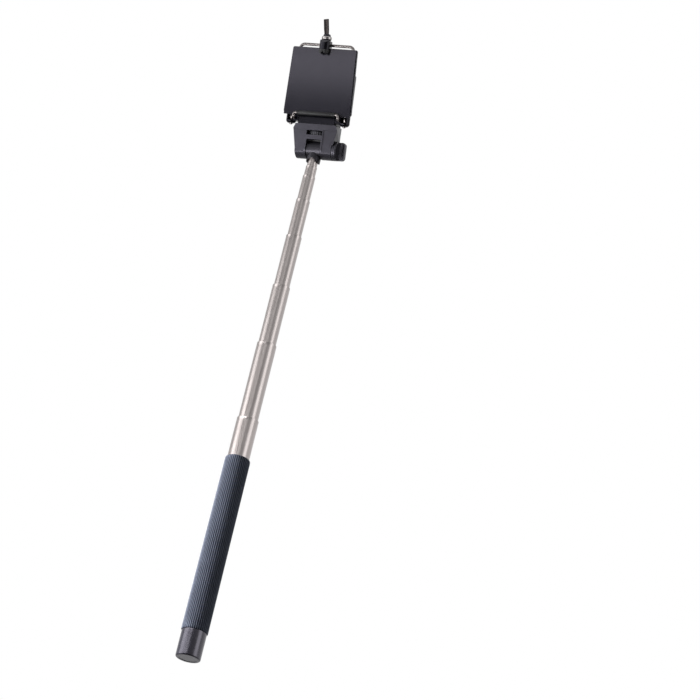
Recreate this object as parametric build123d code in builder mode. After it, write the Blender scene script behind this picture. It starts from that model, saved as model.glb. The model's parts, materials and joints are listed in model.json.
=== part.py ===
from build123d import *
import math
import os

# Telescopic selfie stick, in millimetres. +Z runs along the stick from the middle of the end
# cap's bottom face, the user's side faces -Y and the clamping knob is on +X.

# ---------------------------------------------------------------- driving dimensions
running_fit = 0.03            # radial gap between surfaces that slide or turn on each other
glue_fit = 0.02               # radial gap between surfaces that are glued or pressed together
easy_fit = 0.2                # gap around screw heads and clips

cap_radius, cap_height, cap_edge = 11.75, 26.0, 1.2
cap_floor = 8.0               # thickness of the cap below the handle tube
spigot_height, spigot_bore = 14.0, 7.5

grip_bottom_radius, grip_top_radius = 12.5, 11.8
grip_top, grip_round = 199.0, 1.4
groove_count, groove_radius = 40, 0.5
groove_start, groove_end = 27.6, 196.6

tube_radii = (10.3, 9.3, 8.35, 7.45, 6.65, 6.0, 5.4, 4.8)
tube_wall = 0.35
handle_mouth = 238.0          # height of the handle tube's upper end
exposures = (77.0, 60.2, 52.5, 38.1, 25.5, 10.4, 4.8)  # length of each inner tube in the open
inner_tube_length = 160.0     # from a tube's lower end to the foot of its open length's top
mouth_length, mouth_taper, mouth_round = 4.0, 0.8, 0.35
bush_length, bush_lip, bush_slit = 9.0, 0.8, 1.0

barrel_radius, barrel_width = 8.6, 13.6
socket_radius, socket_drop, socket_depth, socket_edge = 6.7, 13.5, 7.0, 0.5
notch_radius, notch_height = 6.4, 2.6    # arch in the front and back of the socket's rim
rivet_radius, rivet_height = 0.9, 3.0    # height above the socket's rim
rivet_sink = 0.2

head_tilt = 18.0              # degrees that the head leans forward of the stick
head_depth = 18.0             # front to back, also the ears' diameter about the hinge
head_foot_half, head_hinge_half, head_top_half = 17.9, 18.5, 22.3
head_back_half = 19.8         # the flanks draw in towards the back
head_shoulder, head_top, head_corner, head_round = 18.6, 23.5, 20.4, 1.0
slot_half, slot_ceiling = 7.4, 8.9
cheek_depth, cheek_top, cheek_inner = 0.5, 18.2, 8.8
window_width, window_height, window_middle = 16.2, 4.3, 15.3

bolt_radius, bolt_hole, bolt_tip = 1.98, 2.05, 0.4
bolt_hex, bolt_head_outer, bolt_head_inner, bolt_end = 7.0, 17.4, 14.6, 22.0
spot_face, spot_radius = 18.2, 9.7
washer_thickness, nylon_radius, steel_washer_radius = 0.5, 6.2, 7.0

knob_radius, knob_start, knob_disc_end, knob_end = 9.0, 18.75, 22.8, 29.8
knob_round, knob_groove, knob_groove_width, knob_groove_depth = 1.2, 1.5, 0.6, 0.4
wing_height, wing_thickness, wing_corner, wing_scoop = 17.4, 4.6, 3.0, 0.9
wing_rim, wing_root = 0.9, 2.0
insert_radius, insert_end = 3.4, 22.2

wheel_radius, wheel_thickness, wheel_notches = 8.1, 3.8, 24
notch_size, notch_circle = 0.75, 8.4
screw_radius, screw_foot, screw_top, screw_tip = 3.1, 11.4, 30.5, 0.5
screw_hole, screw_hex, screw_hex_height = 3.2, 8.0, 2.0
clip_groove, clip_foot, clip_thickness, clip_radius, clip_mouth = 2.6, 21.4, 0.8, 5.0, 4.2
pad_thickness, pad_half_width, pad_half_depth, pad_hole = 0.5, 19.2, 8.2, 5.6

base_foot, base_top = 24.05, 33.4
base_half_width, base_half_depth, base_corner = 19.5, 8.0, 2.0
nut_radius, nut_top, nut_bore = 4.6, 31.6, 3.15
leg_x, leg_front, leg_radius = 27.0, 4.4, 1.4    # legs of the wire frame, ahead of the hinge
ear_radius, ear_foot, ear_bore, ear_floor, ear_round = 4.9, 23.4, 2.6, 25.2, 3.0
ear_window_width, ear_window_height, ear_window_middle, ear_window_corner = 5.0, 6.4, 29.2, 0.8
arm_foot, arm_back, arm_front, arm_overlap = 25.6, 0.6, 8.2, 1.0
lug_half_width, lug_top, lug_root = 12.0, 43.8, 2.0

plate_foot, plate_top = 33.5, 96.8
plate_foot_half, plate_top_half = 34.3, 32.5
plate_back, plate_front, plate_corner, plate_edge = 7.2, 9.4, 1.6, 0.3
cushion_thickness, cushion_inset, cushion_foot = 0.6, 0.8, 30.6

housing_top, housing_back, housing_half_width = 74.0, 0.6, 31.9
housing_corner, housing_edge = 2.4, 0.8
channel_top, channel_back = 70.0, 1.8
pocket_width, pocket_foot, boss_wall = 44.0, 46.2, 1.3
stop_foot, stop_top, stop_radius = 29.7, 31.5, 2.4
spring_wire, spring_radius, spring_turns, spring_gap = 0.35, 2.0, 13.5, 0.05

frame_foot, frame_top, frame_bend = 22.4, 100.3, 4.4

lip_wire, lip_half_width, lip_front, lip_bend = 1.3, 22.4, 12.4, 2.2
lip_foot, lip_top, lip_root = 28.4, 33.0, 5.4
sleeve_radius, sleeve_half_length, sleeve_edge = 2.2, 19.4, 0.4

hook_half_width, hook_front, hook_back, jaw_gap = 5.15, 16.4, 1.8, 0.3
hook_foot, hook_ledge, hook_shoulder = 94.8, 97.6, 104.4
hook_brow, hook_heel = 3.0, 1.6          # the top's front and back slopes
hook_round, shoulder_round = 5.0, 2.6    # corners seen from above and from the front
neck_radius, neck_front, neck_top, neck_root = 4.3, 8.8, 105.0, 1.0
jaw_foot, lobe_radius = 90.9, 2.55
ferrule_radius, ferrule_top, ferrule_dome, ferrule_edge = 4.8, 107.9, 0.9, 0.4
collar_radius, collar_top_radius, collar_top = 3.9, 3.1, 110.1
tab_width, tab_length, tab_layer, tab_lean = 4.9, 19.0, 0.9, 9.0
tab_root = 106.0

screw_places = [(-6, 39), (6, 39), (-16, 52), (16, 52), (-16, 66), (16, 66)]
screw_shank, screw_head, screw_head_height, screw_end = 1.0, 1.9, 1.2, 8.8
cross_length, cross_width, cross_depth = 2.2, 0.5, 0.6

# ---------------------------------------------------------------- derived places
tube_count = len(tube_radii)
handle_radius, last_radius = tube_radii[0], tube_radii[-1]
mouths = [handle_mouth + sum(exposures[:number]) for number in range(tube_count)]
socket_rim = mouths[-1]
hinge_height = socket_rim + socket_drop

tilt = math.radians(head_tilt)
HEAD = Plane(
    origin=(0, 0, hinge_height), x_dir=(1, 0, 0), z_dir=(0, -math.sin(tilt), math.cos(tilt))
)
FRONT = Plane(origin=HEAD.origin, x_dir=(1, 0, 0), z_dir=HEAD.y_dir * -1)
SIDE = Plane(origin=HEAD.origin, x_dir=HEAD.y_dir, z_dir=(1, 0, 0))
head_up = Axis(HEAD.origin, HEAD.z_dir)
head_front = Axis(HEAD.origin, FRONT.z_dir)

os.makedirs("parts", exist_ok=True)


def save(piece, name):
    """Label one finished piece and write its STEP file."""
    piece.part.label = name
    export_step(piece.part, f"parts/{name}.step")


def ring_face(plane, outer, inner, centre=(0, 0)):
    """A flat ring on a plane, ready to be extruded."""
    with BuildSketch(plane) as face:
        with Locations(centre):
            Circle(outer)
            Circle(inner, mode=Mode.SUBTRACT)
    return face.sketch


# ---------------------------------------------------------------- handle
with BuildPart() as end_cap:
    Cylinder(cap_radius, cap_height, align=(Align.CENTER, Align.CENTER, Align.MIN))
    fillet(end_cap.edges().sort_by(Axis.Z)[0], cap_edge)
    socket = ring_face(
        Plane.XY.offset(cap_floor), handle_radius + glue_fit, handle_radius - tube_wall - glue_fit
    )
    extrude(socket, amount=cap_height, mode=Mode.SUBTRACT)
    with BuildSketch(Plane.XY.offset(cap_floor + spigot_height)):
        Circle(handle_radius)
    extrude(amount=cap_height, mode=Mode.SUBTRACT)
    with BuildSketch(Plane.XY.offset(cap_floor / 2)):
        Circle(spigot_bore)
    extrude(amount=cap_height, mode=Mode.SUBTRACT)
save(end_cap, "end_cap")

grip_slope = math.degrees(
    math.atan2(grip_bottom_radius - grip_top_radius, grip_top - cap_height)
)
grip_middle_radius = (grip_bottom_radius + grip_top_radius) / 2
with BuildPart() as grip_sleeve:
    with BuildSketch(Plane.XZ):
        with BuildLine():
            Polyline(
                (handle_radius + glue_fit, cap_height),
                (grip_bottom_radius, cap_height),
                (grip_top_radius, grip_top),
                (handle_radius + glue_fit, grip_top),
                close=True,
            )
        make_face()
    revolve(axis=Axis.Z)
    outer_top = grip_sleeve.edges().filter_by(GeomType.CIRCLE).group_by(Axis.Z)[-1]
    fillet(outer_top.sort_by(SortBy.RADIUS)[-1], grip_round)
    with PolarLocations(grip_middle_radius, groove_count):
        with Locations(Location((0, 0, (groove_start + groove_end) / 2), (0, -grip_slope, 0))):
            Cylinder(groove_radius, groove_end - groove_start, mode=Mode.SUBTRACT)
save(grip_sleeve, "grip_sleeve")

# ---------------------------------------------------------------- telescopic tubes
for number in range(tube_count):
    outer = tube_radii[number]
    inner = outer - tube_wall
    is_handle, is_last = number == 0, number == tube_count - 1
    top = socket_rim + socket_depth if is_last else mouths[number]
    foot = cap_floor if is_handle else mouths[number] - inner_tube_length
    with BuildPart() as tube:
        extrude(ring_face(Plane.XY.offset(foot), outer, inner), amount=top - foot)
        if is_last:
            with BuildSketch(Plane.YZ.offset(-outer)):
                with Locations((0, socket_rim + rivet_height)):
                    Circle(rivet_radius + glue_fit)
            extrude(amount=2 * outer, mode=Mode.SUBTRACT)
        else:
            # The mouth is swaged in until it guides the next tube.
            guide = tube_radii[number + 1] + running_fit
            with BuildSketch(Plane.XZ):
                with BuildLine():
                    Polyline(
                        (inner, top),
                        (guide, top),
                        (guide, top - mouth_length),
                        (inner, top - mouth_length - mouth_taper),
                        close=True,
                    )
                make_face()
            revolve(axis=Axis.Z)
            rim = tube.edges().filter_by(GeomType.CIRCLE).group_by(Axis.Z)[-1]
            fillet(rim.sort_by(SortBy.RADIUS)[-1], mouth_round)
    save(tube, f"tube_{number + 1}")

    if not is_handle:
        bore = tube_radii[number - 1] - tube_wall
        with BuildPart() as bush:
            lip = ring_face(Plane.XY.offset(foot - bush_lip), bore - running_fit, inner)
            extrude(lip, amount=bush_lip)
            collar = ring_face(Plane.XY.offset(foot), bore - running_fit, outer + glue_fit)
            extrude(collar, amount=bush_length)
            with Locations((0, bore, foot + bush_length / 2)):
                Box(bush_slit, outer / 2, 2 * bush_length, mode=Mode.SUBTRACT)
        save(bush, f"bush_{number + 1}")

# ---------------------------------------------------------------- knuckle on the last tube
with BuildPart() as knuckle:
    with BuildSketch(Plane.YZ.offset(-barrel_width / 2)):
        with Locations((0, hinge_height)):
            Circle(barrel_radius)
    extrude(amount=barrel_width)
    with BuildSketch(Plane.XY.offset(socket_rim)):
        Circle(socket_radius)
    extrude(amount=socket_drop)
    chamfer(knuckle.edges().filter_by(GeomType.CIRCLE).group_by(Axis.Z)[0], socket_edge)
    with BuildSketch(Plane.XY.offset(socket_rim)):
        Circle(last_radius + glue_fit)
    extrude(amount=socket_depth, mode=Mode.SUBTRACT)
    with BuildSketch(Plane.XZ):
        with Locations((0, socket_rim + notch_height - notch_radius)):
            Circle(notch_radius)
    extrude(amount=2 * socket_radius, both=True, mode=Mode.SUBTRACT)
    with BuildSketch(Plane.YZ.offset(-barrel_width)):
        with Locations((0, hinge_height)):
            Circle(bolt_hole)
        with Locations((0, socket_rim + rivet_height)):
            Circle(rivet_radius + glue_fit)
    extrude(amount=2 * barrel_width, mode=Mode.SUBTRACT)
save(knuckle, "knuckle")

with BuildPart() as knuckle_rivet:
    with BuildSketch(Plane.YZ.offset(rivet_sink - socket_radius)):
        with Locations((0, socket_rim + rivet_height)):
            Circle(rivet_radius)
    extrude(amount=2 * (socket_radius - rivet_sink))
save(knuckle_rivet, "knuckle_rivet")

# ---------------------------------------------------------------- tilting head
with BuildPart() as head_body:
    with BuildSketch(FRONT):
        with BuildLine():
            Polyline(
                (-head_foot_half, -head_depth / 2),
                (head_foot_half, -head_depth / 2),
                (head_hinge_half, 0),
                (head_top_half, head_shoulder),
                (head_corner, head_top),
                (-head_corner, head_top),
                (-head_top_half, head_shoulder),
                (-head_hinge_half, 0),
                close=True,
            )
        make_face()
    extrude(amount=head_depth / 2, both=True)
    # Seen from the side, the ears are round about the hinge.
    with BuildSketch(SIDE):
        Circle(head_depth / 2)
        Rectangle(head_depth, head_top, align=(Align.CENTER, Align.MIN))
    extrude(amount=head_top_half, both=True, mode=Mode.INTERSECT)
    # Seen from above, the flanks draw in towards the back.
    with BuildSketch(HEAD):
        with BuildLine():
            Polyline(
                (-head_top_half, -head_depth / 2),
                (head_top_half, -head_depth / 2),
                (head_back_half, head_depth / 2),
                (-head_back_half, head_depth / 2),
                close=True,
            )
        make_face()
    extrude(amount=2 * head_top, both=True, mode=Mode.INTERSECT)
    fillet(head_body.edges().filter_by(head_front).group_by(head_up)[-1], head_round)
    # The cheeks lie a little below the middle and the top band, at the front and the back.
    for face in (1, -1):
        with BuildSketch(FRONT.offset(face * (head_depth / 2 - cheek_depth))):
            for side in (-1, 1):
                with Locations((side * (cheek_inner + head_top_half / 2), 0)):
                    Rectangle(head_top_half, 2 * cheek_top)
        extrude(amount=face * 2 * cheek_depth, mode=Mode.SUBTRACT)
    with BuildSketch(FRONT):
        with Locations((0, slot_ceiling)):
            Rectangle(2 * slot_half, 2 * head_depth, align=(Align.CENTER, Align.MAX))
        with Locations((0, window_middle)):
            Rectangle(window_width, window_height)
    extrude(amount=head_depth, both=True, mode=Mode.SUBTRACT)
    with BuildSketch(SIDE.offset(-head_top_half)):
        Circle(bolt_hole)
    extrude(amount=2 * head_top_half, mode=Mode.SUBTRACT)
    with BuildSketch(SIDE.offset(-bolt_head_inner)):
        RegularPolygon(bolt_hex / 2 + glue_fit, 6, major_radius=False)
    extrude(amount=-head_top_half, mode=Mode.SUBTRACT)
    with BuildSketch(SIDE.offset(spot_face)):
        Circle(spot_radius)
    extrude(amount=head_top_half, mode=Mode.SUBTRACT)
    with BuildSketch(HEAD.offset(screw_foot - running_fit)):
        Circle(screw_hole)
    extrude(amount=head_top, mode=Mode.SUBTRACT)
    with BuildSketch(HEAD.offset(clip_foot - running_fit)):
        Circle(clip_radius + easy_fit)
    extrude(amount=head_top, mode=Mode.SUBTRACT)
save(head_body, "head_body")

with BuildPart() as head_pad:
    with BuildSketch(HEAD.offset(head_top)):
        RectangleRounded(2 * pad_half_width, 2 * pad_half_depth, base_corner)
        Circle(pad_hole, mode=Mode.SUBTRACT)
    extrude(amount=pad_thickness)
save(head_pad, "head_pad")

with BuildPart() as hinge_bolt:
    with BuildSketch(SIDE.offset(-bolt_head_inner)):
        Circle(bolt_radius)
    extrude(amount=bolt_head_inner + bolt_end)
    chamfer(hinge_bolt.edges().filter_by(GeomType.CIRCLE).sort_by(Axis.X)[-1], bolt_tip)
    with BuildSketch(SIDE.offset(-bolt_head_outer)):
        RegularPolygon(bolt_hex / 2, 6, major_radius=False)
    extrude(amount=bolt_head_outer - bolt_head_inner)
save(hinge_bolt, "hinge_bolt")

with BuildPart() as friction_washers:
    gap_middle = (barrel_width / 2 + slot_half) / 2
    for side in (-1, 1):
        plane = SIDE.offset(side * gap_middle - washer_thickness / 2)
        extrude(ring_face(plane, nylon_radius, bolt_hole), amount=washer_thickness)
save(friction_washers, "friction_washers")

with BuildPart() as knob_washer:
    face = ring_face(SIDE.offset(spot_face), steel_washer_radius, bolt_hole)
    extrude(face, amount=washer_thickness)
save(knob_washer, "knob_washer")

# ---------------------------------------------------------------- clamping knob
with BuildPart() as knob:
    with BuildSketch(SIDE.offset(knob_start)):
        Circle(knob_radius)
    extrude(amount=knob_disc_end - knob_start)
    fillet(knob.edges().filter_by(GeomType.CIRCLE).sort_by(Axis.X)[-1], knob_round)
    groove = ring_face(
        SIDE.offset(knob_start + knob_groove), 2 * knob_radius, knob_radius - knob_groove_depth
    )
    extrude(groove, amount=knob_groove_width, mode=Mode.SUBTRACT)
    # The wing has a scoop for the thumb on each side.
    half = wing_thickness / 2
    root, scoop_end = knob_disc_end - wing_root, knob_end - wing_rim
    with BuildSketch(HEAD.offset(-wing_height / 2)):
        with BuildLine():
            Line((root, half), (knob_disc_end, half))
            ThreePointArc(
                (knob_disc_end, half),
                ((knob_disc_end + scoop_end) / 2, half - wing_scoop),
                (scoop_end, half),
            )
            Polyline((scoop_end, half), (knob_end, half), (knob_end, -half), (scoop_end, -half))
            ThreePointArc(
                (scoop_end, -half),
                ((knob_disc_end + scoop_end) / 2, wing_scoop - half),
                (knob_disc_end, -half),
            )
            Polyline((knob_disc_end, -half), (root, -half), (root, half))
        make_face()
    extrude(amount=wing_height)
    fillet(knob.edges().filter_by(head_front).group_by(Axis.X)[-1], wing_corner)
    with BuildSketch(SIDE.offset(knob_start)):
        Circle(insert_radius)
    extrude(amount=insert_end - knob_start, mode=Mode.SUBTRACT)
save(knob, "knob")

with BuildPart() as knob_insert:
    face = ring_face(SIDE.offset(knob_start), insert_radius, bolt_radius + running_fit)
    extrude(face, amount=insert_end - knob_start)
save(knob_insert, "knob_insert")

# ---------------------------------------------------------------- thumb wheel and its screw
wheel_foot = window_middle - wheel_thickness / 2
with BuildPart() as thumb_wheel:
    with BuildSketch(HEAD.offset(wheel_foot)):
        Circle(wheel_radius)
        with PolarLocations(notch_circle, wheel_notches):
            Circle(notch_size, mode=Mode.SUBTRACT)
        Circle(screw_radius, mode=Mode.SUBTRACT)
    extrude(amount=wheel_thickness)
    with BuildSketch(HEAD.offset(window_middle + wheel_thickness / 2 - screw_hex_height)):
        RegularPolygon(screw_hex / 2, 6, major_radius=False)
    extrude(amount=wheel_thickness, mode=Mode.SUBTRACT)
save(thumb_wheel, "thumb_wheel")

with BuildPart() as tripod_screw:
    with BuildSketch(HEAD.offset(screw_foot)):
        Circle(screw_radius)
    extrude(amount=screw_top - screw_foot)
    chamfer(tripod_screw.edges().sort_by(head_up)[-1], screw_tip)
    with BuildSketch(HEAD.offset(window_middle + wheel_thickness / 2 - screw_hex_height)):
        RegularPolygon(screw_hex / 2, 6, major_radius=False)
    extrude(amount=screw_hex_height)
    groove = ring_face(HEAD.offset(clip_foot), clip_radius, clip_groove)
    extrude(groove, amount=clip_thickness, mode=Mode.SUBTRACT)
save(tripod_screw, "tripod_screw")

with BuildPart() as screw_clip:
    with BuildSketch(HEAD.offset(clip_foot)):
        Circle(clip_radius)
        Circle(clip_groove, mode=Mode.SUBTRACT)
        Rectangle(clip_radius, clip_mouth, align=(Align.MIN, Align.CENTER), mode=Mode.SUBTRACT)
    extrude(amount=clip_thickness)
save(screw_clip, "screw_clip")

# ---------------------------------------------------------------- phone holder
legs = [(-leg_x, -leg_front), (leg_x, -leg_front)]
with BuildPart() as holder_base:
    with BuildSketch(HEAD.offset(ear_foot)):
        with Locations(*legs):
            Circle(ear_radius)
    extrude(amount=base_top - ear_foot)
    fillet(holder_base.edges().filter_by(GeomType.CIRCLE).group_by(head_up)[0], ear_round)
    with BuildSketch(HEAD.offset(base_foot)):
        RectangleRounded(2 * base_half_width, 2 * base_half_depth, base_corner)
    extrude(amount=base_top - base_foot)
    arm_length = leg_x - base_half_width + arm_overlap
    with BuildSketch(HEAD.offset(arm_foot)):
        for side in (-1, 1):
            with Locations((side * (leg_x - arm_length / 2), -(arm_front + arm_back) / 2)):
                Rectangle(arm_length, arm_front - arm_back)
    extrude(amount=base_top - arm_foot)
    with BuildSketch(FRONT.offset(arm_back)):
        with Locations((0, base_top - lug_root)):
            Rectangle(2 * lug_half_width, lug_top - base_top + lug_root,
                      align=(Align.CENTER, Align.MIN))
    extrude(amount=plate_back - arm_back)
    with BuildSketch(HEAD.offset(ear_floor)):
        with Locations(*legs):
            Circle(ear_bore)
    extrude(amount=base_top, mode=Mode.SUBTRACT)
    with BuildSketch(HEAD):
        with Locations(*legs):
            Circle(leg_radius + running_fit)
    extrude(amount=base_top, mode=Mode.SUBTRACT)
    # Each ear is open at the front, where the leg and its stop show.
    with BuildSketch(FRONT.offset(leg_front)):
        with Locations((-leg_x, ear_window_middle), (leg_x, ear_window_middle)):
            RectangleRounded(ear_window_width, ear_window_height, ear_window_corner)
    extrude(amount=2 * ear_radius, mode=Mode.SUBTRACT)
    with BuildSketch(HEAD):
        Circle(nut_radius)
    extrude(amount=nut_top, mode=Mode.SUBTRACT)
    with BuildSketch(FRONT.offset(lip_root)):
        with Locations((-lip_half_width, lip_foot), (lip_half_width, lip_foot)):
            Circle(lip_wire)
    extrude(amount=2 * arm_front, mode=Mode.SUBTRACT)
    with BuildSketch(FRONT.offset(arm_back)):
        with Locations(*screw_places[:2]):
            Circle(screw_shank + glue_fit)
    extrude(amount=plate_back, mode=Mode.SUBTRACT)
    with BuildSketch(FRONT.offset(arm_back)):
        with Locations(*screw_places[:2]):
            Circle(screw_head + easy_fit)
    extrude(amount=screw_head_height + easy_fit, mode=Mode.SUBTRACT)
save(holder_base, "holder_base")

with BuildPart() as threaded_insert:
    face = ring_face(HEAD.offset(base_foot), nut_radius, nut_bore)
    extrude(face, amount=nut_top - base_foot)
save(threaded_insert, "threaded_insert")


def plate_outline(plane, foot, inset):
    """The back plate's tapered outline above a foot, drawn in by an inset."""
    with BuildSketch(plane) as outline:
        with BuildLine():
            Polyline(
                (-plate_foot_half, foot),
                (plate_foot_half, foot),
                (plate_top_half, plate_top),
                (-plate_top_half, plate_top),
                close=True,
            )
        make_face()
        fillet(outline.vertices(), plate_corner)
        if inset:
            offset(amount=-inset)
    return outline.sketch


with BuildPart() as back_plate:
    outline = plate_outline(FRONT.offset(plate_back), plate_foot, 0)
    extrude(outline, amount=plate_front - plate_back)
    chamfer(back_plate.faces().sort_by(head_front)[-1].edges(), plate_edge)
    with BuildSketch(FRONT.offset(plate_back)):
        with Locations(*screw_places):
            Circle(screw_shank)
    extrude(amount=screw_end - plate_back, mode=Mode.SUBTRACT)
save(back_plate, "back_plate")

with BuildPart() as cushion:
    outline = plate_outline(FRONT.offset(plate_front), cushion_foot, cushion_inset)
    extrude(outline, amount=cushion_thickness)
save(cushion, "cushion")

with BuildPart() as spring_housing:
    middle = (plate_foot + housing_top) / 2
    with BuildSketch(FRONT.offset(housing_back)):
        with Locations((0, middle)):
            RectangleRounded(2 * housing_half_width, housing_top - plate_foot, housing_corner)
    extrude(amount=plate_back - housing_back)
    fillet(spring_housing.faces().sort_by(head_front)[0].edges(), housing_edge)
    with BuildSketch(FRONT.offset(channel_back)):
        with Locations((-leg_x, channel_top), (leg_x, channel_top)):
            Rectangle(2 * ear_bore, 2 * channel_top, align=(Align.CENTER, Align.MAX))
        with Locations((0, pocket_foot)):
            Rectangle(pocket_width, channel_top - pocket_foot, align=(Align.CENTER, Align.MIN))
        with Locations(*screw_places[2:]):
            Circle(screw_head + boss_wall, mode=Mode.SUBTRACT)
    extrude(amount=plate_back, mode=Mode.SUBTRACT)
    with BuildSketch(FRONT):
        with Locations((0, lug_top + running_fit)):
            Rectangle(2 * (lug_half_width + running_fit), lug_top, align=(Align.CENTER, Align.MAX))
    extrude(amount=2 * plate_back, mode=Mode.SUBTRACT)
    with BuildSketch(HEAD.offset(channel_top)):
        with Locations(*legs):
            Circle(ear_bore)
    extrude(amount=housing_top, mode=Mode.SUBTRACT)
    with BuildSketch(FRONT):
        with Locations(*screw_places[2:]):
            Circle(screw_shank + glue_fit)
    extrude(amount=plate_back, mode=Mode.SUBTRACT)
    with BuildSketch(FRONT):
        with Locations(*screw_places[2:]):
            Circle(screw_head + easy_fit)
    extrude(amount=housing_back + screw_head_height + easy_fit, mode=Mode.SUBTRACT)
save(spring_housing, "spring_housing")

with BuildPart() as holder_screws:
    screw_seat = housing_back + screw_head_height + easy_fit
    with BuildSketch(FRONT.offset(screw_seat)):
        with Locations(*screw_places):
            Circle(screw_shank)
    extrude(amount=screw_end - screw_seat)
    with BuildSketch(FRONT.offset(screw_seat)):
        with Locations(*screw_places):
            Circle(screw_head)
    extrude(amount=-screw_head_height)
    with BuildSketch(FRONT.offset(screw_seat - screw_head_height)):
        with Locations(*screw_places):
            Rectangle(cross_length, cross_width)
            Rectangle(cross_width, cross_length)
    extrude(amount=cross_depth, mode=Mode.SUBTRACT)
save(holder_screws, "holder_screws")

with BuildPart() as guide_bushes:
    for leg in legs:
        face = ring_face(HEAD.offset(channel_top), ear_bore, leg_radius + running_fit, leg)
        extrude(face, amount=housing_top - channel_top)
save(guide_bushes, "guide_bushes")

with BuildPart() as lower_wire:
    with BuildLine(HEAD) as lip_path:
        FilletPolyline(
            (-lip_half_width, -lip_root, lip_foot),
            (-lip_half_width, -lip_front, lip_foot),
            (-lip_half_width, -lip_front, lip_top),
            (lip_half_width, -lip_front, lip_top),
            (lip_half_width, -lip_front, lip_foot),
            (lip_half_width, -lip_root, lip_foot),
            radius=lip_bend,
        )
    with BuildSketch(Plane(lip_path.line @ 0, z_dir=lip_path.line % 0)):
        Circle(lip_wire)
    sweep(path=lip_path.line)
save(lower_wire, "lower_wire")

with BuildPart() as lower_sleeve:
    face = ring_face(
        SIDE.offset(-sleeve_half_length), sleeve_radius, lip_wire + glue_fit,
        (-lip_front, lip_top),
    )
    extrude(face, amount=2 * sleeve_half_length)
    rims = lower_sleeve.edges().filter_by(GeomType.CIRCLE).group_by(SortBy.RADIUS)[-1]
    fillet(rims, sleeve_edge)
save(lower_sleeve, "lower_sleeve")

with BuildPart() as springs:
    spring_foot = stop_top + spring_wire + spring_gap
    spring_height = channel_top - spring_wire - spring_gap - spring_foot
    for leg in legs:
        foot = HEAD.from_local_coords((leg[0], leg[1], spring_foot))
        with BuildLine() as coil:
            Helix(spring_height / spring_turns, spring_height, spring_radius, foot, HEAD.z_dir)
        with BuildSketch(Plane(coil.line @ 0, z_dir=coil.line % 0)):
            Circle(spring_wire)
        sweep(path=coil.line, is_frenet=True)
save(springs, "springs")

# ---------------------------------------------------------------- sliding clamp
with BuildPart() as wire_frame:
    with BuildLine(HEAD) as frame_path:
        FilletPolyline(
            (-leg_x, -leg_front, frame_foot),
            (-leg_x, -leg_front, frame_top),
            (leg_x, -leg_front, frame_top),
            (leg_x, -leg_front, frame_foot),
            radius=frame_bend,
        )
    with BuildSketch(HEAD.offset(frame_foot)):
        with Locations(legs[0]):
            Circle(leg_radius)
    sweep(path=frame_path.line)
save(wire_frame, "wire_frame")

with BuildPart() as leg_stops:
    for leg in legs:
        face = ring_face(HEAD.offset(stop_foot), stop_radius, leg_radius + glue_fit, leg)
        extrude(face, amount=stop_top - stop_foot)
save(leg_stops, "leg_stops")

with BuildPart() as pull_tab:
    with BuildSketch(FRONT.offset(neck_front - tab_layer)):
        with Locations(Location((0, tab_root, 0), (0, 0, tab_lean))):
            Rectangle(tab_width, tab_length, align=(Align.CENTER, Align.MIN))
    extrude(amount=2 * tab_layer)
save(pull_tab, "pull_tab")


def hook_plan():
    """The hook's outline seen from above, round at the front and the back."""
    with BuildSketch(HEAD) as outline:
        with Locations((0, -(hook_front + hook_back) / 2)):
            RectangleRounded(2 * hook_half_width, hook_front - hook_back, hook_round)
    return outline.sketch


with BuildPart() as hook_body:
    jaw_back = plate_front + cushion_thickness + jaw_gap
    with BuildSketch(SIDE.offset(-hook_half_width)):
        with BuildLine():
            Polyline(
                (-hook_back, hook_ledge),
                (-jaw_back, hook_ledge),
                (-jaw_back, hook_foot),
                (-hook_front, hook_foot),
                (-hook_front, hook_shoulder - hook_brow),
                (-hook_front + hook_brow, hook_shoulder),
                (-hook_back - hook_heel, hook_shoulder),
                (-hook_back, hook_shoulder - hook_heel),
                close=True,
            )
        make_face()
    extrude(amount=2 * hook_half_width)
    extrude(hook_plan(), amount=hook_shoulder, mode=Mode.INTERSECT)
    with BuildSketch(FRONT):
        with Locations((0, hook_shoulder)):
            RectangleRounded(
                2 * hook_half_width, hook_shoulder, shoulder_round, align=(Align.CENTER, Align.MAX)
            )
    extrude(amount=hook_front, mode=Mode.INTERSECT)
    with BuildSketch(HEAD.offset(hook_shoulder - neck_root)):
        with Locations((0, -neck_front)):
            Circle(neck_radius)
    extrude(amount=neck_top - hook_shoulder + neck_root)
    with BuildSketch(SIDE.offset(-2 * hook_half_width)):
        with Locations((-leg_front, frame_top)):
            Circle(leg_radius)
    extrude(amount=4 * hook_half_width, mode=Mode.SUBTRACT)
save(hook_body, "hook_body")

with BuildPart() as hook_pad:
    with BuildSketch(FRONT.offset(jaw_back)):
        for side in (-1, 1):
            with Locations((side * (hook_half_width - lobe_radius), jaw_foot + lobe_radius)):
                Circle(lobe_radius)
        with Locations((0, hook_foot)):
            Rectangle(2 * hook_half_width, hook_foot - jaw_foot - lobe_radius,
                      align=(Align.CENTER, Align.MAX))
            Rectangle(2 * hook_half_width, 2 * lobe_radius, align=(Align.CENTER, Align.MIN),
                      mode=Mode.SUBTRACT)
    extrude(amount=hook_front - jaw_back - jaw_gap)
    extrude(hook_plan(), amount=hook_shoulder, mode=Mode.INTERSECT)
save(hook_pad, "hook_pad")

with BuildPart() as ferrule:
    with BuildSketch(HEAD.offset(neck_top)):
        with Locations((0, -neck_front)):
            Circle(ferrule_radius)
    extrude(amount=ferrule_top - neck_top)
    fillet(ferrule.edges().sort_by(head_up)[-1], ferrule_dome)
    fillet(ferrule.edges().sort_by(head_up)[0], ferrule_edge)
    add(pull_tab.part, mode=Mode.SUBTRACT)
save(ferrule, "ferrule")

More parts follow.
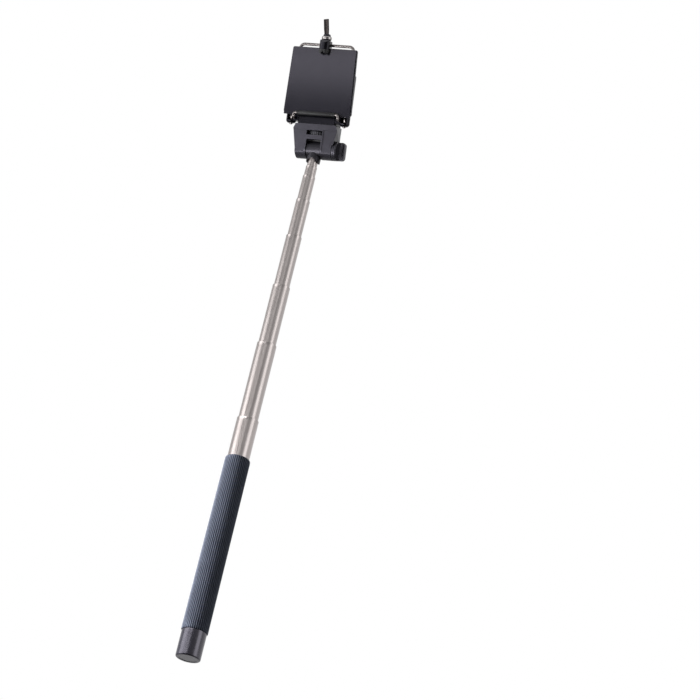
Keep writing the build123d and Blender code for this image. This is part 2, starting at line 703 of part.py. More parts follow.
with BuildPart() as tab_collar:
    for height, radius in ((ferrule_top, collar_radius), (collar_top, collar_top_radius)):
        with BuildSketch(HEAD.offset(height)):
            with Locations((0, -neck_front)):
                Circle(radius)
    loft()
    add(pull_tab.part, mode=Mode.SUBTRACT)
save(tab_collar, "tab_collar")
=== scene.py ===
import json
import math

import bmesh
import bpy
from mathutils import Matrix, Vector


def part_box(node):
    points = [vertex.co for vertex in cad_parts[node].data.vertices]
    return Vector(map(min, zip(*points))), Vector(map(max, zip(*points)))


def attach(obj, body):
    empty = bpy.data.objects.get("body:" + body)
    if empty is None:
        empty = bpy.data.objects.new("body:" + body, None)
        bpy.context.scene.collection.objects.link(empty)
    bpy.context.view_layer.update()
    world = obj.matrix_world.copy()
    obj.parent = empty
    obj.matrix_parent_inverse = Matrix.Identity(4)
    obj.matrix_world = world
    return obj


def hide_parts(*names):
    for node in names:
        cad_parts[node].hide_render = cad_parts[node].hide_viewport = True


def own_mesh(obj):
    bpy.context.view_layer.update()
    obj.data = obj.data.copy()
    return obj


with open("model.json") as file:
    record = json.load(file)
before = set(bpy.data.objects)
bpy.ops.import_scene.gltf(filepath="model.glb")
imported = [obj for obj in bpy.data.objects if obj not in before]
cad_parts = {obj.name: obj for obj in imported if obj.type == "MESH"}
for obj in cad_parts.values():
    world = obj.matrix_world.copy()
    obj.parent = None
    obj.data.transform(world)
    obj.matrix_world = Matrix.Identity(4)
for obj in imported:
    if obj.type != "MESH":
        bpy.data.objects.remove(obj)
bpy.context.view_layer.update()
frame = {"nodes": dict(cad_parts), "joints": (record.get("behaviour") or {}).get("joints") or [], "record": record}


# ---------------------------------------------------------------- shared places
# The pieces' lengths are in millimetres and become metres in the mesh helpers. The head's own
# directions are x (the knob's side), front (the user's side) and up (towards the phone).
MM = 0.001


def placing(x_axis, y_axis, z_axis, place):
    """The matrix whose columns are three axes and a place."""
    return Matrix((*zip(x_axis, y_axis, z_axis, place), (0, 0, 0, 1)))


JOINTS = {joint["name"]: joint for joint in frame["joints"]}
HINGE = Vector(JOINTS["head_tilt"]["pos_m"])
HEAD_UP = Vector(JOINTS["holder_turn"]["axis"]).normalized()
HEAD_X = Vector((1, 0, 0))
HEAD_FRONT = HEAD_X.cross(HEAD_UP)
HEAD = placing(HEAD_X, HEAD_FRONT, HEAD_UP, HINGE)
STICK = Matrix.Identity(4)
RIBS = 40
LEG_X, LEG_FRONT = 27.0, 4.4      # the two legs of the wire frame
LIP_FRONT, LIP_UP = 12.4, 33.0    # the bar of the lower lip
CLOSE_FIT = 0.02                  # between the handle tube and the pieces on it


# ---------------------------------------------------------------- materials
# Places in a material and the depths of its relief are in metres.
COOL_GLOSS = (0.90, 0.86, 1.0, 1.0)
BLUE_GLOSS = (0.72, 0.84, 1.0, 1.0)


class Nodes:
    """A material's node tree with short calls for the nodes that the materials share."""

    def __init__(self, name):
        self.material = bpy.data.materials.new(name)
        self.material.use_nodes = True
        self.tree = self.material.node_tree
        self.shader = self.tree.nodes["Principled BSDF"]

    def add(self, kind, **values):
        node = self.tree.nodes.new(kind)
        for key, value in values.items():
            setattr(node, key, value)
        return node

    def link(self, source, target):
        """Link a socket to another socket, or to a shader input given by name."""
        if isinstance(target, str):
            target = self.shader.inputs[target]
        self.tree.links.new(source, target)

    def set(self, **values):
        """Set shader inputs, with _ for each space in an input's name."""
        for key, value in values.items():
            self.shader.inputs[key.replace("_", " ")].default_value = value

    def place(self, stretch=(1, 1, 1)):
        """Object coordinates, stretched per axis."""
        coordinates = self.add("ShaderNodeTexCoord")
        mapping = self.add("ShaderNodeMapping")
        mapping.inputs["Scale"].default_value = stretch
        self.link(coordinates.outputs["Object"], mapping.inputs["Vector"])
        return mapping.outputs["Vector"]

    def noise(self, place, scale, detail=4.0, roughness=0.55):
        node = self.add("ShaderNodeTexNoise")
        node.inputs["Scale"].default_value = scale
        node.inputs["Detail"].default_value = detail
        node.inputs["Roughness"].default_value = roughness
        self.link(place, node.inputs["Vector"])
        return node.outputs["Fac"]

    def spread(self, value, low, high, start=0.3, end=0.7):
        """Map a texture value's span from start to end onto the range low to high."""
        node = self.add("ShaderNodeMapRange")
        node.inputs["From Min"].default_value = start
        node.inputs["From Max"].default_value = end
        node.inputs["To Min"].default_value = low
        node.inputs["To Max"].default_value = high
        self.link(value, node.inputs["Value"])
        return node.outputs["Result"]

    def blend(self, value, first, second):
        """A colour between two colours or sockets, by a 0 to 1 value."""
        node = self.add("ShaderNodeMix", data_type="RGBA")
        colours = [socket for socket in node.inputs if socket.type == "RGBA"]
        for socket, colour in zip(colours, (first, second)):
            if isinstance(colour, tuple):
                socket.default_value = (*colour, 1)
            else:
                self.link(colour, socket)
        self.link(value, node.inputs[0])
        return next(socket for socket in node.outputs if socket.type == "RGBA")

    def math(self, operation, *values):
        """One Math node; a value is a number or a socket."""
        node = self.add("ShaderNodeMath", operation=operation)
        for socket, value in zip(node.inputs, values):
            if isinstance(value, (int, float)):
                socket.default_value = value
            else:
                self.link(value, socket)
        return node.outputs[0]

    def bump(self, height, distance):
        """Relief on the whole shader, with its depth in metres."""
        node = self.add("ShaderNodeBump")
        node.inputs["Distance"].default_value = distance
        node.inputs["Strength"].default_value = 1.0
        self.link(height, node.inputs["Height"])
        self.link(node.outputs["Normal"], "Normal")


def lightened(colour, factor):
    return tuple(min(1.0, channel * factor) for channel in colour)


def plastic(name, colour, roughness, grain=0.00002, grain_scale=2600, lift=1.35, coat=0.0,
            ior=1.5, uneven=1.0):
    """Moulded plastic: faint mottling, uneven gloss and a fine spark-eroded grain."""
    mat = Nodes(name)
    place = mat.place()
    cloud = mat.noise(place, scale=55, detail=3)
    smear = mat.noise(place, scale=140, detail=5)
    fine = mat.noise(place, grain_scale, detail=2)
    mat.link(mat.blend(mat.spread(cloud, 0, 1), colour, lightened(colour, lift)), "Base Color")
    mat.link(mat.spread(smear, roughness - 0.05 * uneven, roughness + 0.07 * uneven), "Roughness")
    mat.bump(fine, grain)
    mat.set(IOR=ior, Coat_Weight=coat, Coat_Roughness=0.12, Specular_Tint=COOL_GLOSS)
    return mat.material


def metal(name, colour, roughness, stretch=(1, 1, 1), scale=900, depth=0.000006, tint=0.85):
    """Drawn or turned metal: fine streaks in colour, gloss and relief along one direction."""
    mat = Nodes(name)
    streak = mat.noise(mat.place(stretch), scale, detail=6, roughness=0.6)
    cloud = mat.noise(mat.place(), scale=40, detail=2)
    streak_share = 0.7
    tone = mat.math("MULTIPLY_ADD", streak, streak_share, mat.spread(cloud, 0.0, 1 - streak_share))
    darker = lightened(colour, tint)
    mat.link(mat.blend(mat.spread(tone, 0, 1, 0.25, 0.75), darker, colour), "Base Color")
    mat.link(mat.spread(streak, roughness - 0.06, roughness + 0.08), "Roughness")
    mat.bump(streak, depth)
    mat.set(Metallic=1.0)
    return mat.material


def rubber(name, colour, roughness, dust):
    """Rubber or foam: matt, slightly dusty, with a soft even grain."""
    mat = Nodes(name)
    place = mat.place()
    cloud = mat.noise(place, scale=90)
    mat.link(mat.blend(mat.spread(cloud, 0, 1), colour, lightened(colour, dust)), "Base Color")
    mat.link(mat.spread(cloud, roughness - 0.06, roughness + 0.06), "Roughness")
    mat.bump(mat.noise(place, scale=3200, detail=3), 0.00003)
    mat.set(IOR=1.45)
    return mat.material


def ribbed_rubber(name, colour, groove_shade_colour):
    """The grip: satin rubber, mottled on the ribs, with painted shade darkening it down in the grooves."""
    mat = Nodes(name)
    place = mat.place()
    parts = mat.add("ShaderNodeSeparateXYZ")
    mat.link(place, parts.inputs["Vector"])
    angle = mat.math("ARCTAN2", parts.outputs["Y"], parts.outputs["X"])
    wave = mat.math("COSINE", mat.math("MULTIPLY", angle, RIBS))
    # Painted shade: the colour darkens towards the near-black groove shade where each rib dips into a groove.
    groove = mat.spread(wave, 0.0, 1.0, -0.4, 0.8)
    cloud = mat.noise(place, scale=70)
    ground = mat.blend(mat.spread(cloud, 0, 1), colour, lightened(colour, 1.12))
    mat.link(mat.blend(groove, ground, groove_shade_colour), "Base Color")
    mat.link(mat.spread(cloud, 0.50, 0.62), "Roughness")
    mat.bump(mat.noise(place, scale=3200, detail=3), 0.00002)
    mat.set(IOR=1.26, Specular_Tint=BLUE_GLOSS)
    return mat.material


def strap_leather(name, colour, worn_colour):
    """Thin brown-black strap: pebbled grain with lighter worn flecks."""
    mat = Nodes(name)
    place = mat.place()
    cells = mat.add("ShaderNodeTexVoronoi")
    cells.inputs["Scale"].default_value = 1900
    mat.link(place, cells.inputs["Vector"])
    wear = mat.noise(place, scale=420, detail=5)
    mat.link(mat.blend(mat.spread(wear, 0, 1, 0.42, 0.72), colour, worn_colour), "Base Color")
    mat.bump(cells.outputs["Distance"], 0.00006)
    mat.set(Roughness=0.55, IOR=1.45)
    return mat.material


ALONG_STICK = (1, 1, 0.015)
PLASTICS = {
    "cap_gloss": dict(colour=(0.012, 0.0115, 0.022), roughness=0.24, grain=0.000004,
                      grain_scale=700, lift=1.3, coat=0.2, ior=1.85),
    "black_plastic": dict(colour=(0.010, 0.010, 0.012), roughness=0.38),
    "head_plastic": dict(colour=(0.031, 0.030, 0.038), roughness=0.35, grain_scale=2200),
    "knob_plastic": dict(colour=(0.034, 0.033, 0.041), roughness=0.34, grain_scale=2200),
    "base_plastic": dict(colour=(0.005, 0.005, 0.008), roughness=0.18, grain=0.000006,
                         grain_scale=1800, lift=1.3, ior=1.3),
    "plate_plastic": dict(colour=(0.040, 0.039, 0.046), roughness=0.30, grain=0.00001,
                          grain_scale=1500),
    "cushion_sheet": dict(colour=(0.013, 0.0125, 0.018), roughness=0.21, grain=0.000004,
                          grain_scale=2400, lift=1.05, uneven=0.2),
    "white_nylon": dict(colour=(0.70, 0.69, 0.65), roughness=0.45, grain=0.00001,
                        grain_scale=1200, lift=1.1),
}
METALS = {
    "tube_steel": dict(colour=(0.48, 0.438, 0.427), roughness=0.30, stretch=ALONG_STICK,
                       scale=1500, depth=0.000003, tint=0.9),
    "bush_bronze": dict(colour=(0.55, 0.36, 0.20), roughness=0.35),
    "zinc_steel": dict(colour=(0.60, 0.60, 0.60), roughness=0.30, scale=300),
    "dark_steel": dict(colour=(0.15, 0.14, 0.14), roughness=0.34, scale=300),
    "insert_brass": dict(colour=(0.72, 0.50, 0.20), roughness=0.28, scale=300),
    "wheel_metal": dict(colour=(0.085, 0.085, 0.095), roughness=0.36, scale=500),
    "bright_wire": dict(colour=(0.22, 0.20, 0.197), roughness=0.24, scale=160, depth=0.000001,
                        tint=0.9),
    "spring_steel": dict(colour=(0.50, 0.50, 0.50), roughness=0.25),
    "ferrule_chrome": dict(colour=(0.36, 0.34, 0.335), roughness=0.24, scale=200,
                           depth=0.000001, tint=0.95),
}
MATERIALS = {
    **{name: plastic(name, **look) for name, look in PLASTICS.items()},
    **{name: metal(name, **look) for name, look in METALS.items()},
    # The grip's second colour is the painted shade down in its grooves.
    "grip_rubber": ribbed_rubber("grip_rubber", (0.232, 0.256, 0.330), (0.008, 0.012, 0.028)),
    "pad_rubber": rubber("pad_rubber", (0.010, 0.010, 0.011), roughness=0.55, dust=1.5),
    "tab_leather": strap_leather("tab_leather", (0.014, 0.009, 0.009), (0.05, 0.036, 0.033)),
}
SLOT_OF = {part["node"]: part["material_slot"] for part in frame["record"]["subparts"]}
BODY_OF = {
    node: body for body, nodes in frame["record"]["behaviour"]["bodies"].items() for node in nodes
}


# ---------------------------------------------------------------- mesh helpers
def piece_from(bm, node, matrix=STICK, scale=MM, smooth=40, name=None):
    """Turn a bmesh in millimetres into a piece that stands for a CAD node."""
    bmesh.ops.scale(bm, vec=(scale,) * 3, verts=bm.verts)
    bm.transform(matrix)
    bmesh.ops.recalc_face_normals(bm, faces=bm.faces)
    name = name or f"{node}_finished"
    mesh = bpy.data.meshes.new(name)
    bm.to_mesh(mesh)
    bm.free()
    piece = bpy.data.objects.new(name, mesh)
    bpy.context.collection.objects.link(piece)
    for face in mesh.polygons:
        face.use_smooth = True
    mesh.set_sharp_from_angle(angle=math.radians(smooth))
    mesh.materials.append(MATERIALS[SLOT_OF[node]])
    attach(piece, BODY_OF[node])
    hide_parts(node)
    return piece


def mm_box(node):
    low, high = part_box(node)
    return low / MM, high / MM


def radius_of(node):
    """The outer radius of a round node on the stick's axis."""
    return mm_box(node)[1].x


def arc(centre, radius, start, end, steps):
    """Points on an arc in (r, z), with angles in degrees."""
    return [
        (centre[0] + radius * math.cos(math.radians(start + (end - start) * i / steps)),
         centre[1] + radius * math.sin(math.radians(start + (end - start) * i / steps)))
        for i in range(steps + 1)
    ]


def circle(bm, radii, height):
    """A ring of vertices round z, one vertex for each radius."""
    count = len(radii)
    return [
        bm.verts.new((radius * math.cos(2 * math.pi * i / count),
                      radius * math.sin(2 * math.pi * i / count), height))
        for i, radius in enumerate(radii)
    ]


def skin(bm, rings, closed):
    """Faces between each ring and the next one. A closed row goes on from its last ring to its
    first, and an open row gets an end face on both. A ring may be a single vertex."""
    for first, second in zip(rings, rings[1:] + rings[:1] if closed else rings[1:]):
        count = max(len(first), len(second))
        if count == 1:
            continue
        for i in range(count):
            j = (i + 1) % count
            edge = [first[i], first[j]] if len(first) > 1 else first
            facing = [second[j], second[i]] if len(second) > 1 else second
            bm.faces.new(edge + facing)
    if not closed:
        bm.faces.new(reversed(rings[0]))
        bm.faces.new(rings[-1])


def lathe(profile, segments=96):
    """Revolve a closed (r, z) profile about z. A point on the axis becomes one vertex."""
    bm = bmesh.new()
    rings = [
        circle(bm, [radius] * (segments if radius else 1), height) for radius, height in profile
    ]
    skin(bm, rings, closed=True)
    return bm


def bent(corners, bend, steps=10):
    """The line through the corners, with each right-angled corner rounded to a bend radius."""
    corners = [Vector(corner) for corner in corners]
    points = [corners[0]]
    for before, corner, after in zip(corners, corners[1:], corners[2:]):
        back, onward = (before - corner).normalized(), (after - corner).normalized()
        centre = corner + (back + onward) * bend
        for i in range(steps + 1):
            turn = math.radians(90 * i / steps)
            points.append(centre - bend * (onward * math.cos(turn) + back * math.sin(turn)))
    return points + [corners[-1]]


def bar_along(bm, points, radius, segments=24, chamfer=0.25):
    """Add a round bar with chamfered ends that follows a line of points."""
    first = (points[1] - points[0]).normalized()
    last = (points[-1] - points[-2]).normalized()
    stations = [(points[0], first, radius - chamfer), (points[0] + first * chamfer, first, radius)]
    for before, point, after in zip(points, points[1:], points[2:]):
        stations.append((point, (after - before).normalized(), radius))
    stations += [(points[-1] - last * chamfer, last, radius), (points[-1], last, radius - chamfer)]
    across = first.orthogonal().normalized()
    rings = []
    for place, along, reach in stations:
        across = (across - along * across.dot(along)).normalized()
        over = along.cross(across)
        rings.append([
            bm.verts.new(place + reach * (
                across * math.cos(2 * math.pi * i / segments)
                + over * math.sin(2 * math.pi * i / segments)
            ))
            for i in range(segments)
        ])
    skin(bm, rings, closed=False)


def in_metres(matrix):
    """A placing in millimetres, for a mesh that is already in metres."""
    return Matrix.Translation(matrix.to_translation() * MM) @ matrix.to_3x3().to_4x4()


def crown(bm, axis, cuts, start, full, height):
    """Arch a flat front forwards along an axis of the head, once it is cut across at some places
    on that axis. The rise grows from nothing at the front distance start to all of it at full."""
    def measure(vert, direction):
        return (vert.co - HINGE).dot(direction) / MM

    places = [measure(vert, axis) for vert in bm.verts]
    middle, half = (min(places) + max(places)) / 2, (max(places) - min(places)) / 2
    for place in cuts:
        bmesh.ops.bisect_plane(
            bm, geom=bm.verts[:] + bm.edges[:] + bm.faces[:],
            plane_co=HINGE + axis * place * MM, plane_no=axis,
        )
    for vert in bm.verts:
        share = min(1.0, max(0.0, (measure(vert, HEAD_FRONT) - start) / (full - start)))
        rise = height * (1 - ((measure(vert, axis) - middle) / half) ** 2)
        vert.co += HEAD_FRONT * rise * share * MM


def bevelled(node, width, crowning=None):
    """A copy of a CAD node's mesh with its flat faces merged and its edges rounded."""
    same_place, flat_angle, sharp_angle = 1e-6, math.radians(1.5), math.radians(32)
    bm = bmesh.new()
    bm.from_mesh(frame["nodes"][node].data)
    bmesh.ops.remove_doubles(bm, verts=bm.verts, dist=same_place)
    bmesh.ops.dissolve_limit(
        bm, angle_limit=flat_angle, verts=bm.verts, edges=bm.edges, use_dissolve_boundaries=False
    )
    if crowning:
        crown(bm, **crowning)
    sharp = [
        edge for edge in bm.edges
        if len(edge.link_faces) == 2 and edge.calc_face_angle(0) > sharp_angle
    ]
    bmesh.ops.bevel(
        bm, geom=sharp, offset=width * MM, offset_type="OFFSET", segments=3,
        profile=0.5, affect="EDGES", clamp_overlap=True, material=-1,
    )
    piece = piece_from(bm, node, scale=1.0, smooth=35)
    piece.modifiers.new("face_weights", "WEIGHTED_NORMAL").keep_sharp = True


# ---------------------------------------------------------------- stick
def make_end_cap():
    """The cap: a recessed foot, rounded edges and a blind bore for the handle tube."""
    radius, top = radius_of("end_cap"), mm_box("end_cap")[1].z
    bore, bore_floor = radius_of("tube_1") + CLOSE_FIT, 8.0
    recess, recess_inset, foot_inset = 0.35, 3.2, 2.8
    foot_round, top_round = 1.3, 0.45
    profile = [(0.0, recess), (radius - recess_inset, recess), (radius - foot_inset, 0.0)]
    profile += arc((radius - foot_round, foot_round), foot_round, -90, 0, 8)
    profile += [(radius, top - 2 * top_round)]
    profile += arc((radius - top_round, top - top_round), top_round, 0, 90, 5)
    profile += [(bore, top), (bore, bore_floor), (0.0, bore_floor)]
    piece_from(lathe(profile, 128), "end_cap")


def make_grip():
    """The sleeve's ribs run lengthwise and fade into its rounded ends."""
    low, high = mm_box("grip_sleeve")
    foot, top, foot_radius = low.z, high.z, high.x
    bore, taper, foot_round, top_round = radius_of("tube_1") + CLOSE_FIT, 0.7, 0.7, 2.6
    groove_depth, narrowing, points_per_rib = 0.6, 1.5, 8
    foot_rows, straight_rows, top_rows = 4, 24, 7
    plain_foot, plain_top, foot_fade, top_fade = 0.8, 1.2, 1.6, 2.4

    # Each row is a height and how far the rounded ends draw the surface in there.
    rows = []
    for i in range(foot_rows + 1):
        angle = math.radians(90 * i / foot_rows)
        rows.append((foot + foot_round * (1 - math.cos(angle)), foot_round * (1 - math.sin(angle))))
    straight_foot, straight = foot + foot_round, top - foot - foot_round - top_round
    rows += [(straight_foot + straight * i / straight_rows, 0.0) for i in range(1, straight_rows)]
    meets_tube = math.acos(1 - (foot_radius - taper - bore) / top_round)
    for i in range(top_rows + 1):
        angle = meets_tube * i / top_rows
        rows.append((top - top_round * (1 - math.sin(angle)), top_round * (1 - math.cos(angle))))

    grooves = RIBS * [
        groove_depth * (0.5 + 0.5 * math.cos(2 * math.pi * i / points_per_rib)) ** narrowing
        for i in range(points_per_rib)
    ]
    bm = bmesh.new()
    rings = []
    for height, inset in rows:
        radius = foot_radius - taper * (height - foot) / (top - foot) - inset
        from_foot, from_top = height - foot - plain_foot, top - plain_top - height
        fade = min(1.0, max(0.0, from_foot / foot_fade), max(0.0, from_top / top_fade))
        rings.append(circle(bm, [radius - groove * fade for groove in grooves], height))
    rings.append(circle(bm, [bore] * len(grooves), foot))
    skin(bm, rings, closed=True)
    piece_from(bm, "grip_sleeve", smooth=60, name="grip_finished")


def make_tubes():
    """Each tube ends in a rolled mouth that is swaged in onto the next one."""
    count, wall, slide_fit = 8, 0.35, 0.04
    swage, swage_from, swage_to = 0.06, 4.6, 4.2
    lip, lip_from, lip_to, rim = 0.02, 1.0, 0.8, 0.20
    guide_from, guide_to, guide_end = 0.05, 4.0, 4.8
    for number in range(1, count + 1):
        node = f"tube_{number}"
        low, high = mm_box(node)
        outer, foot, top = high.x, low.z, high.z
        inner = outer - wall
        profile = [(inner, foot), (outer, foot)]
        if number < count:
            guide = radius_of(f"tube_{number + 1}") + slide_fit
            profile += [(outer, top - swage_from), (outer - swage, top - swage_to)]
            profile += [(outer - swage, top - lip_from), (outer - lip, top - lip_to)]
            profile += arc((outer - lip - rim, top - rim), rim, 0, 90, 4)
            profile += [(guide, top - guide_from), (guide, top - guide_to)]
            profile += [(inner, top - guide_end)]
        else:
            profile += [(outer, top), (inner, top)]
        piece_from(lathe(profile), node, smooth=50)


# ---------------------------------------------------------------- holder
def make_wire(node, half, path, bend, radius):
    """One length of bar, bent along (front, up) corners on the left and back on the right."""
    corners = [(-half, *corner) for corner in path] + [(half, *corner) for corner in path[::-1]]
    bm = bmesh.new()
    bar_along(bm, bent(corners, bend), radius)
    piece_from(bm, node, HEAD, smooth=50)


def make_wires():
    """The clamp's sliding frame and the wire of the lower lip."""
    legs_foot, frame_top = 22.4, 100.3
    leg_path = [(LEG_FRONT, legs_foot), (LEG_FRONT, frame_top)]
    make_wire("wire_frame", LEG_X, leg_path, bend=4.4, radius=1.4)
    lip_half, root, rise_from = 22.4, 5.4, 28.4
    lip_path = [(root, rise_from), (LIP_FRONT, rise_from), (LIP_FRONT, LIP_UP)]
    make_wire("lower_wire", lip_half, lip_path, bend=2.2, radius=1.3)


def make_sleeve():
    """The soft sleeve on the lip: a tube with rounded rims and moulded grooves at each end."""
    half, radius, bore, rim = 19.4, 2.2, 1.32, 0.4
    groove, groove_half = 0.12, 0.25
    end = [(bore, -half)] + arc((radius - rim, rim - half), rim, -90, 0, 5)
    for place in (1.6, 2.8):
        end += [(radius, place - groove_half - half), (radius - groove, place - half),
                (radius, place + groove_half - half)]
    profile = end + [(reach, -height) for reach, height in reversed(end)]
    lying = Matrix.Rotation(math.radians(90), 4, "Y")
    on_lip = in_metres(Matrix.Translation((0, LIP_FRONT, LIP_UP)) @ lying)
    piece_from(lathe(profile, 40), "lower_sleeve", HEAD @ on_lip, smooth=50)


def make_springs():
    """A compression spring round each leg, which closes up as the clamp slides out."""
    foot, top, coil, wire, turns, steps = 31.9, 69.6, 2.0, 0.35, 13.5, 20
    bm = bmesh.new()
    for side in (-1, 1):
        count = int(turns * steps)
        points = [
            Vector((side * LEG_X + coil * math.cos(2 * math.pi * i / steps),
                    LEG_FRONT + coil * math.sin(2 * math.pi * i / steps),
                    foot + (top - foot) * i / count))
            for i in range(count + 1)
        ]
        bar_along(bm, points, wire, segments=8, chamfer=0.05)
    piece = piece_from(bm, "springs", HEAD, smooth=60)
    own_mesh(piece)


def make_strap():
    """The pull tab: a strap folded into a flat loop, so its two edges stand up like cords."""
    root, front, length, lean = 106.0, 8.8, 19.0, math.radians(9)
    half, root_share, full_width_at = 2.45, 0.78, 9.0
    rim, hollow, edge_level = 0.9, 0.5, 0.4
    tip_round, tip_width, tip_thickness, fold_length = 0.9, 0.93, 0.25, 1.6
    sway_reach, sway_rate, sway_edge_loss = 0.12, 0.55, 0.4
    # Across one face: a place from edge to edge, and how high the rolled edge stands there.
    across = [(-1.0, 0.35), (-0.93, 0.78), (-0.76, 1.0), (-0.58, 0.86), (-0.42, 0.0), (0.0, 0.0)]
    across += [(-place, height) for place, height in reversed(across[:-1])]
    outline = [(1, *point) for point in across] + [(-1, *point) for point in reversed(across)]
    stations = [0.0, 0.5, 2, 4, 6, 8, 10, 12, 14, 16, 17.5, 18.3, 18.7, 18.92, length]
    bm = bmesh.new()
    rings = []
    for along in stations:
        left = length - along
        width = half * (root_share + (1 - root_share) * min(1.0, along / full_width_at))
        closing = math.sqrt(max(0.0, 1 - (1 - min(left, tip_round) / tip_round) ** 2))
        fold = max(0.0, 1 - left / fold_length)
        ring = []
        for face, place, height in outline:
            level = hollow + (rim - hollow) * max(height, fold)
            if abs(place) == 1.0:
                level = edge_level
            thick = level * (tip_thickness + (1 - tip_thickness) * closing)
            side = place * width * (tip_width + (1 - tip_width) * closing)
            sway = sway_reach * math.sin(along * sway_rate) * (1 - abs(place) * sway_edge_loss)
            ring.append(bm.verts.new((
                -along * math.sin(lean) + side * math.cos(lean),
                front + face * min(thick, rim) + sway * (rim - thick),
                root + along * math.cos(lean) + side * math.sin(lean),
            )))
        rings.append(ring)
    skin(bm, rings, closed=False)
    piece_from(bm, "pull_tab", HEAD, smooth=60)


# ---------------------------------------------------------------- all pieces
make_end_cap()
make_grip()
make_tubes()
make_wires()
make_sleeve()
make_springs()
make_strap()

# The copies of CAD nodes, with the width of their rounded edges.
EDGE_WIDTHS = {
    "knuckle": 0.35, "knob": 0.5, "holder_base": 0.4, "back_plate": 0.25,
    "spring_housing": 0.3, "thumb_wheel": 0.12, "hook_body": 0.5, "hook_pad": 0.6,
    "tab_collar": 0.25, "ferrule": 0.2, "head_pad": 0.12, "hinge_bolt": 0.2,
    "holder_screws": 0.08, "leg_stops": 0.25, "tripod_screw": 0.15, "knob_washer": 0.08,
}
for node_name, edge_width in EDGE_WIDTHS.items():
    bevelled(node_name, edge_width)
head_cuts = sorted(side * place for side in (-1, 1) for place in (2, 5, 11, 13, 16))
bevelled("head_body", width=0.45,
         crowning=dict(axis=HEAD_X, cuts=head_cuts, start=3.0, full=8.5, height=0.8))
bevelled("cushion", width=0.25,
         crowning=dict(axis=HEAD_UP, cuts=range(32, 96, 2), start=9.6, full=9.9, height=0.75))

for node_name, node_object in frame["nodes"].items():
    slots = node_object.data.materials
    if len(slots) == 0:
        slots.append(MATERIALS[SLOT_OF[node_name]])
    for index in range(len(slots)):
        slots[index] = MATERIALS[SLOT_OF[node_name]]


# ---------------------------------------------------------------- stage, light and camera
# Lengths from here on are in metres.
def make_stage():
    """A pale floor, whiter with distance, that stays out of the stick's light and reflections."""
    drop, half_side = -1.6, 24.0
    dull, pale, white = (0.80, 0.80, 0.80), (0.84, 0.84, 0.84), (0.98, 0.98, 0.98)
    fade_from, fade_to = 1.5, 10.0
    mesh = bpy.data.meshes.new("studio_floor")
    corners = [(-1, -1), (1, -1), (1, 1), (-1, 1)]
    mesh.from_pydata([(x * half_side, y * half_side, drop) for x, y in corners], [], [(0, 1, 2, 3)])
    floor = bpy.data.objects.new("studio_floor", mesh)
    bpy.context.collection.objects.link(floor)
    mat = Nodes("studio_floor")
    place = mat.place()
    near = mat.blend(mat.spread(mat.noise(place, scale=0.6, detail=2), 0, 1), dull, pale)
    reach = mat.add("ShaderNodeVectorMath", operation="LENGTH")
    mat.link(place, reach.inputs[0])
    distance = mat.spread(reach.outputs["Value"], 0, 1, fade_from, fade_to)
    mat.link(near, "Base Color")
    mat.link(mat.blend(distance, near, white), "Emission Color")
    mat.set(Roughness=0.9, Emission_Strength=1.0)
    mesh.materials.append(mat.material)
    floor.visible_diffuse = False
    floor.visible_glossy = False


def make_world():
    """White behind the object for the camera. The light is dimmer in front than behind, and the
    gloss sees a paler room than the matt surfaces do, as with reflector cards in a studio."""
    world = bpy.data.worlds.new("studio")
    world.use_nodes = True
    tree = world.node_tree
    background = tree.nodes["Background"]
    background.inputs["Color"].default_value = (1, 1, 1, 1)
    coordinates = tree.nodes.new("ShaderNodeTexCoord")
    parts = tree.nodes.new("ShaderNodeSeparateXYZ")
    tree.links.new(coordinates.outputs["Generated"], parts.inputs["Vector"])
    path = tree.nodes.new("ShaderNodeLightPath")

    def front_to_back(front, back, low, high, lift):
        """A strength that goes from front to back as y plus lift times z goes from low to high."""
        lean = tree.nodes.new("ShaderNodeMath")
        lean.operation = "MULTIPLY_ADD"
        tree.links.new(parts.outputs["Z"], lean.inputs[0])
        lean.inputs[1].default_value = lift
        tree.links.new(parts.outputs["Y"], lean.inputs[2])
        ramp = tree.nodes.new("ShaderNodeMapRange")
        ramp.inputs["From Min"].default_value = low
        ramp.inputs["From Max"].default_value = high
        ramp.inputs["To Min"].default_value = front
        ramp.inputs["To Max"].default_value = back
        tree.links.new(lean.outputs[0], ramp.inputs["Value"])
        return ramp.outputs["Result"]

    def choose(ray, otherwise, chosen):
        node = tree.nodes.new("ShaderNodeMix")
        tree.links.new(path.outputs[ray], node.inputs["Factor"])
        tree.links.new(otherwise, node.inputs["A"])
        tree.links.new(chosen, node.inputs["B"])
        return node.outputs["Result"]

    white = tree.nodes.new("ShaderNodeValue")
    white.outputs["Value"].default_value = 1.0
    matt_light = front_to_back(front=0.04, back=0.15, low=-0.9, high=0.9, lift=0.0)
    gloss_light = front_to_back(front=0.10, back=0.92, low=-1.2, high=1.4, lift=1.2)
    lit = choose("Is Glossy Ray", matt_light, gloss_light)
    seen = choose("Is Camera Ray", lit, white.outputs["Value"])
    tree.links.new(seen, background.inputs["Strength"])
    bpy.context.scene.world = world


def area_light(name, place, aim, size, watts, matt=True, gloss=True):
    """A soft box; matt or gloss False keeps it out of the diffuse light or the reflections."""
    light = bpy.data.lights.new(name, "AREA")
    light.shape = "RECTANGLE"
    light.size, light.size_y = size
    light.energy = watts
    lamp = bpy.data.objects.new(name, light)
    bpy.context.collection.objects.link(lamp)
    lamp.location = place
    lamp.rotation_euler = (Vector(aim) - Vector(place)).to_track_quat("-Z", "Y").to_euler()
    lamp.visible_camera = False
    lamp.visible_diffuse = matt
    lamp.visible_glossy = gloss


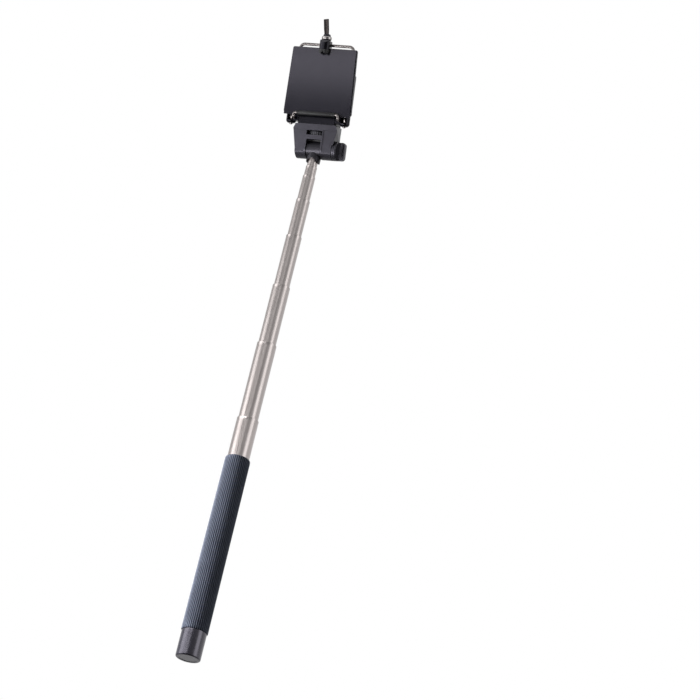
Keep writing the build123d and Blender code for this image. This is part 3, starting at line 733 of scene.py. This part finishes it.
def make_lights():
    """One soft box lights the matt surfaces; the others only draw highlights in the gloss."""
    area_light("key_left", (-1.34, -0.88, 0.26), (0, 0, 0.28), (1.2, 1.9), 15.5, matt=False)
    area_light("wash_left", (-1.43, -0.71, 0.45), (0, 0, 0.30), (1.0, 1.0), 49, gloss=False)
    area_light("strip_right", (1.57, -0.29, 0.55), (0, 0, 0.40), (0.9, 1.8), 7.8, matt=False)
    area_light("front_card", (0.10, -1.60, 1.15), (0, 0, 0.40), (1.1, 0.7), 0.7, matt=False)
    area_light("front_line", (0.29, -1.57, 1.10), (0, 0, 0.40), (0.16, 0.6), 0.30, matt=False)
    area_light("top_soft", (0, -0.2, 2.4), (0, 0, 0.50), (1.6, 1.6), 6, matt=False)
    area_light("front_box", (-0.57, -1.92, 0.43), (0, -0.03, 0.58), (1.3, 0.34), 3.5, matt=False)
    area_light("low_strip", (-0.15, -0.31, 0.225), (0, 0, 0.52), (0.34, 0.16), 1.7, matt=False)


def make_camera():
    """The camera looks up at the stick from the knob's side, rolled so that the stick leans."""
    azimuth, elevation, roll = math.radians(21.48), math.radians(-21.85), math.radians(13.72)
    aim, distance, shift_right, shift_up = Vector((0, 0, 0.32)), 4.1, 0.0764, -0.0092
    back = Vector((
        math.sin(azimuth) * math.cos(elevation),
        -math.cos(azimuth) * math.cos(elevation),
        math.sin(elevation),
    ))
    level_right = (-back).cross(Vector((0, 0, 1))).normalized()
    level_up = level_right.cross(-back)
    right = level_right * math.cos(roll) + level_up * math.sin(roll)
    up = level_up * math.cos(roll) - level_right * math.sin(roll)
    place = aim + back * distance + right * shift_right + up * shift_up
    data = bpy.data.cameras.new("camera")
    data.lens, data.sensor_width = 226.3, 36
    data.clip_start, data.clip_end = 0.05, 60
    camera = bpy.data.objects.new("camera", data)
    bpy.context.collection.objects.link(camera)
    camera.matrix_world = placing(right, up, back, place)
    bpy.context.scene.camera = camera


make_stage()
make_world()
make_lights()
make_camera()
scene = bpy.context.scene
scene.view_settings.view_transform = "Standard"
scene.view_settings.look = "None"
